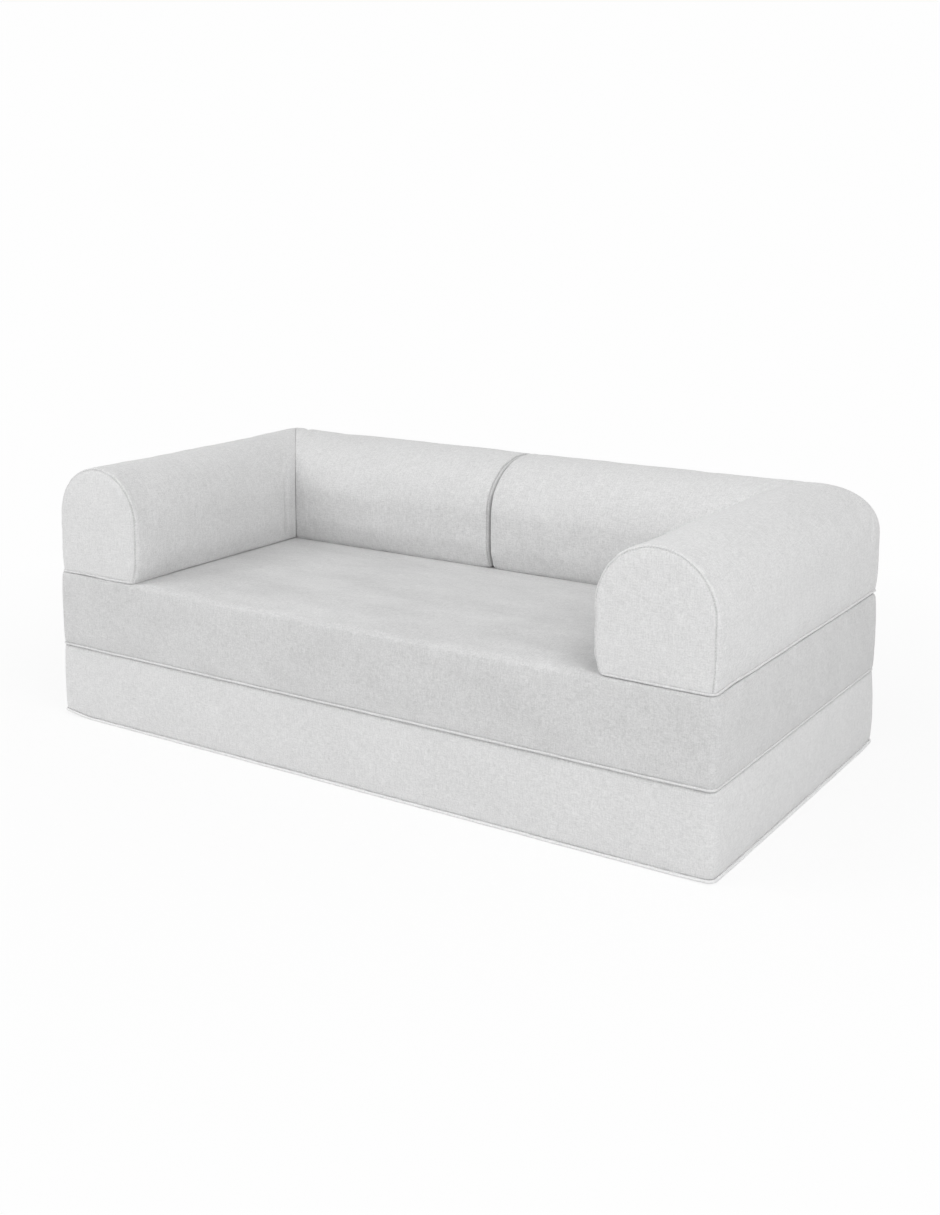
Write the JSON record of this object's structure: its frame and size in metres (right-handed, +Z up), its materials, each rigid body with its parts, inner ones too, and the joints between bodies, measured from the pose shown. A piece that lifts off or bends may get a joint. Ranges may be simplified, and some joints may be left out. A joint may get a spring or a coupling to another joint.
{
  "type": "foam sofa bed",
  "caption": "Foam sofa bed: stacked foam mattresses in fabric covers that unfold to a bed, with L-shaped bolsters with half-round tops as arms and back.",
  "frame": {"origin": "on the floor under the middle of the two mattresses", "axes": "+X to the right along the sofa's width as seen from the front, +Y from the open front to the back, +Z up"},
  "size_m": [1.909, 1.0225, 0.7],
  "materials": {
    "cover": "matt woven",
    "base_cloth": "matt, close weave",
    "welt": "matt woven piping",
    "foam": "open-cell foam",
    "hinge_cloth": "matt webbing",
    "zip_tape": "matt woven tape",
    "zip_coil": "moulded coil",
    "zip_metal": "satin"
  },
  "bodies": {
    "lower_mattress": {"lower_core": "foam", "lower_cover": "cover", "lower_base_panel": "base_cloth", "lower_base_welt": "welt", "lower_zip_tapes": "zip_tape", "lower_zip_chain": "zip_coil", "fold_hinge_tape_lower": "hinge_cloth"},
    "upper_mattress": {"upper_core": "foam", "upper_cover": "cover", "upper_base_panel": "base_cloth", "upper_base_welt": "welt", "upper_zip_tapes": "zip_tape", "upper_zip_chain": "zip_coil", "fold_hinge_tape_upper": "hinge_cloth", "left_hinge_cord": "hinge_cloth", "left_hinge_tape_seat": "hinge_cloth", "right_hinge_cord": "hinge_cloth", "right_hinge_tape_seat": "hinge_cloth"},
    "left_bolster": {"left_arm_core": "foam", "left_arm_cover": "cover", "left_arm_end_panel": "cover", "left_arm_base_panel": "base_cloth", "left_arm_welt": "welt", "left_back_core": "foam", "left_back_cover": "cover", "left_back_end_panel": "cover", "left_back_base_panel": "base_cloth", "left_back_welt": "welt", "left_zip_tapes": "zip_tape", "left_zip_chain": "zip_coil", "left_hinge_tape_back": "hinge_cloth"},
    "right_bolster": {"right_arm_core": "foam", "right_arm_cover": "cover", "right_arm_end_panel": "cover", "right_arm_base_panel": "base_cloth", "right_arm_welt": "welt", "right_back_core": "foam", "right_back_cover": "cover", "right_back_end_panel": "cover", "right_back_base_panel": "base_cloth", "right_back_welt": "welt", "right_zip_tapes": "zip_tape", "right_zip_chain": "zip_coil", "right_hinge_tape_back": "hinge_cloth"},
    "lower_zip_slider": {"lower_zip_slider": "zip_metal"},
    "lower_zip_pull": {"lower_zip_pull": "zip_metal"},
    "upper_zip_slider": {"upper_zip_slider": "zip_metal"},
    "upper_zip_pull": {"upper_zip_pull": "zip_metal"},
    "left_zip_slider": {"left_zip_slider": "zip_metal"},
    "left_zip_pull": {"left_zip_pull": "zip_metal"},
    "right_zip_slider": {"right_zip_slider": "zip_metal"},
    "right_zip_pull": {"right_zip_pull": "zip_metal"}
  },
  "joints": [
    {"name": "mattress_fold", "type": "hinge", "parent": "lower_mattress", "child": "upper_mattress", "pos_m": [0, -0.503, 0.2], "axis": [1, 0, 0], "range_deg": [0, 180]},
    {"name": "left_bolster_turn", "type": "hinge", "parent": "upper_mattress", "child": "left_bolster", "pos_m": [0, 0.511, 0.4], "axis": [-1, 0, 0], "range_deg": [0, 180]},
    {"name": "right_bolster_turn", "type": "hinge", "parent": "upper_mattress", "child": "right_bolster", "pos_m": [0, 0.511, 0.4], "axis": [-1, 0, 0], "range_deg": [0, 180]},
    {"name": "lower_zip_slide", "type": "slide", "parent": "lower_mattress", "child": "lower_zip_slider", "axis": [1, 0, 0], "range_m": [0, 1.6804]},
    {"name": "lower_pull_turn", "type": "hinge", "parent": "lower_zip_slider", "child": "lower_zip_pull", "pos_m": [-0.8402, 0.50609, 0.048], "axis": [0, 0, 1], "range_deg": [0, 180]},
    {"name": "upper_zip_slide", "type": "slide", "parent": "upper_mattress", "child": "upper_zip_slider", "axis": [1, 0, 0], "range_m": [0, 1.6804]},
    {"name": "upper_pull_turn", "type": "hinge", "parent": "upper_zip_slider", "child": "upper_zip_pull", "pos_m": [-0.8402, 0.50618, 0.2486], "axis": [0, 0, 1], "range_deg": [0, 180]},
    {"name": "left_zip_slide", "type": "slide", "parent": "left_bolster", "child": "left_zip_slider", "axis": [1, 0, 0], "range_m": [0, 0.7804]},
    {"name": "left_pull_turn", "type": "hinge", "parent": "left_zip_slider", "child": "left_zip_pull", "pos_m": [-0.8382, 0.51306, 0.456], "axis": [0, 0, 1], "range_deg": [0, 180]},
    {"name": "right_zip_slide", "type": "slide", "parent": "right_bolster", "child": "right_zip_slider", "axis": [-1, 0, 0], "range_m": [0, 0.7804]},
    {"name": "right_pull_turn", "type": "hinge", "parent": "right_zip_slider", "child": "right_zip_pull", "pos_m": [0.8382, 0.51306, 0.456], "axis": [0, 0, -1], "range_deg": [0, 180]}
  ],
  "couplings": [
    {"joint": "left_bolster_turn", "follows": "mattress_fold", "ratio": 1},
    {"joint": "right_bolster_turn", "follows": "mattress_fold", "ratio": 1}
  ]
}
